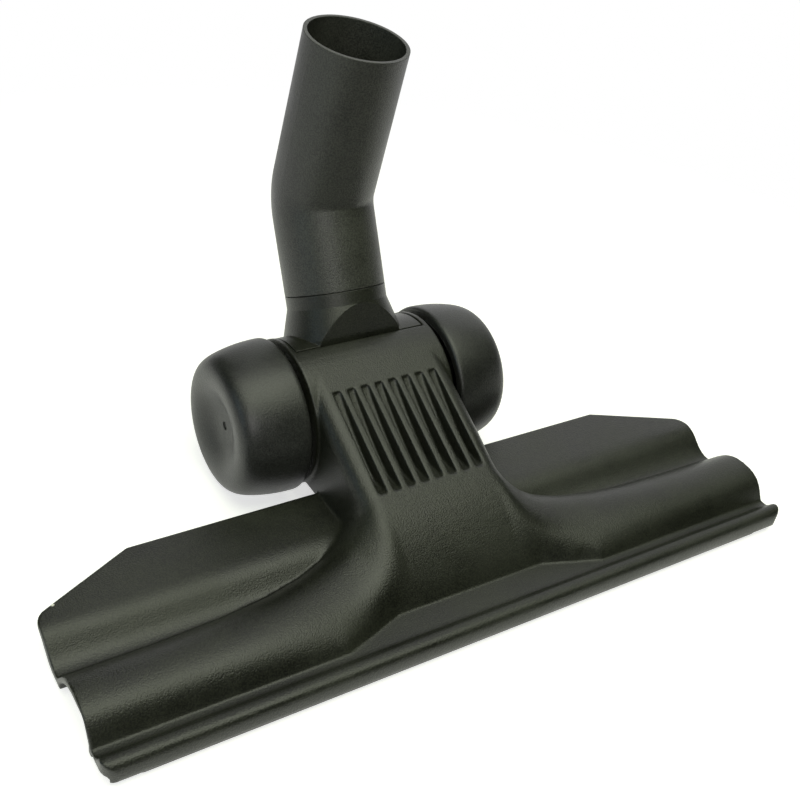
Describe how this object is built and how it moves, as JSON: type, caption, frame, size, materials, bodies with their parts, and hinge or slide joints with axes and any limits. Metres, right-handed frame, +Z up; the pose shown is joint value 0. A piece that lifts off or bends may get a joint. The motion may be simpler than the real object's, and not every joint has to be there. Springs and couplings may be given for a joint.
{
  "type": "vacuum floor brush head",
  "caption": "Long low vacuum floor head with a rear wing, grooved throat, barrel tilt joint between dished wheels, swivelling elbow tube and brush strips beneath.",
  "frame": {"origin": "on the floor, under the middle of the overall box", "axes": "+Z up, +X along the head to its right, -Y to the front edge of the head"},
  "size_m": [0.282, 0.167, 0.1609],
  "materials": {
    "housing": "fine spark-eroded grain",
    "sole": "smooth moulded",
    "joint": "satin moulded",
    "tube": "satin moulded",
    "ring": "moulded",
    "wheel": "satin moulded",
    "brush_backing": "moulded",
    "bristle": "fine filament",
    "steel": "zinc plated"
  },
  "bodies": {
    "head": {"head_housing": "housing", "sole_plate": "sole", "front_brush_strip": "brush_backing", "front_bristles": "bristle", "rear_brush_strip": "brush_backing", "rear_bristles": "bristle", "sole_screws": "steel", "joint_cover": "housing", "cover_screws": "steel", "left_axle": "steel", "right_axle": "steel"},
    "neck": {"tilt_joint": "joint", "lock_ring": "ring"},
    "elbow": {"elbow_tube": "tube"},
    "wheel_left": {"left_wheel": "wheel"},
    "wheel_right": {"right_wheel": "wheel"}
  },
  "joints": [
    {"name": "neck_tilt", "type": "hinge", "parent": "head", "child": "neck", "pos_m": [0, 0.02635, 0.0293], "axis": [-1, 0, 0], "range_deg": [0, 58]},
    {"name": "elbow_swivel", "type": "hinge", "parent": "neck", "child": "elbow", "pos_m": [0, 0.02635, 0.0293], "axis": [0, 0.4936, 0.8697], "continuous": true},
    {"name": "left_wheel_spin", "type": "hinge", "parent": "head", "child": "wheel_left", "pos_m": [0, 0.02635, 0.0293], "axis": [1, 0, 0], "continuous": true},
    {"name": "right_wheel_spin", "type": "hinge", "parent": "head", "child": "wheel_right", "pos_m": [0, 0.02635, 0.0293], "axis": [1, 0, 0], "continuous": true}
  ]
}
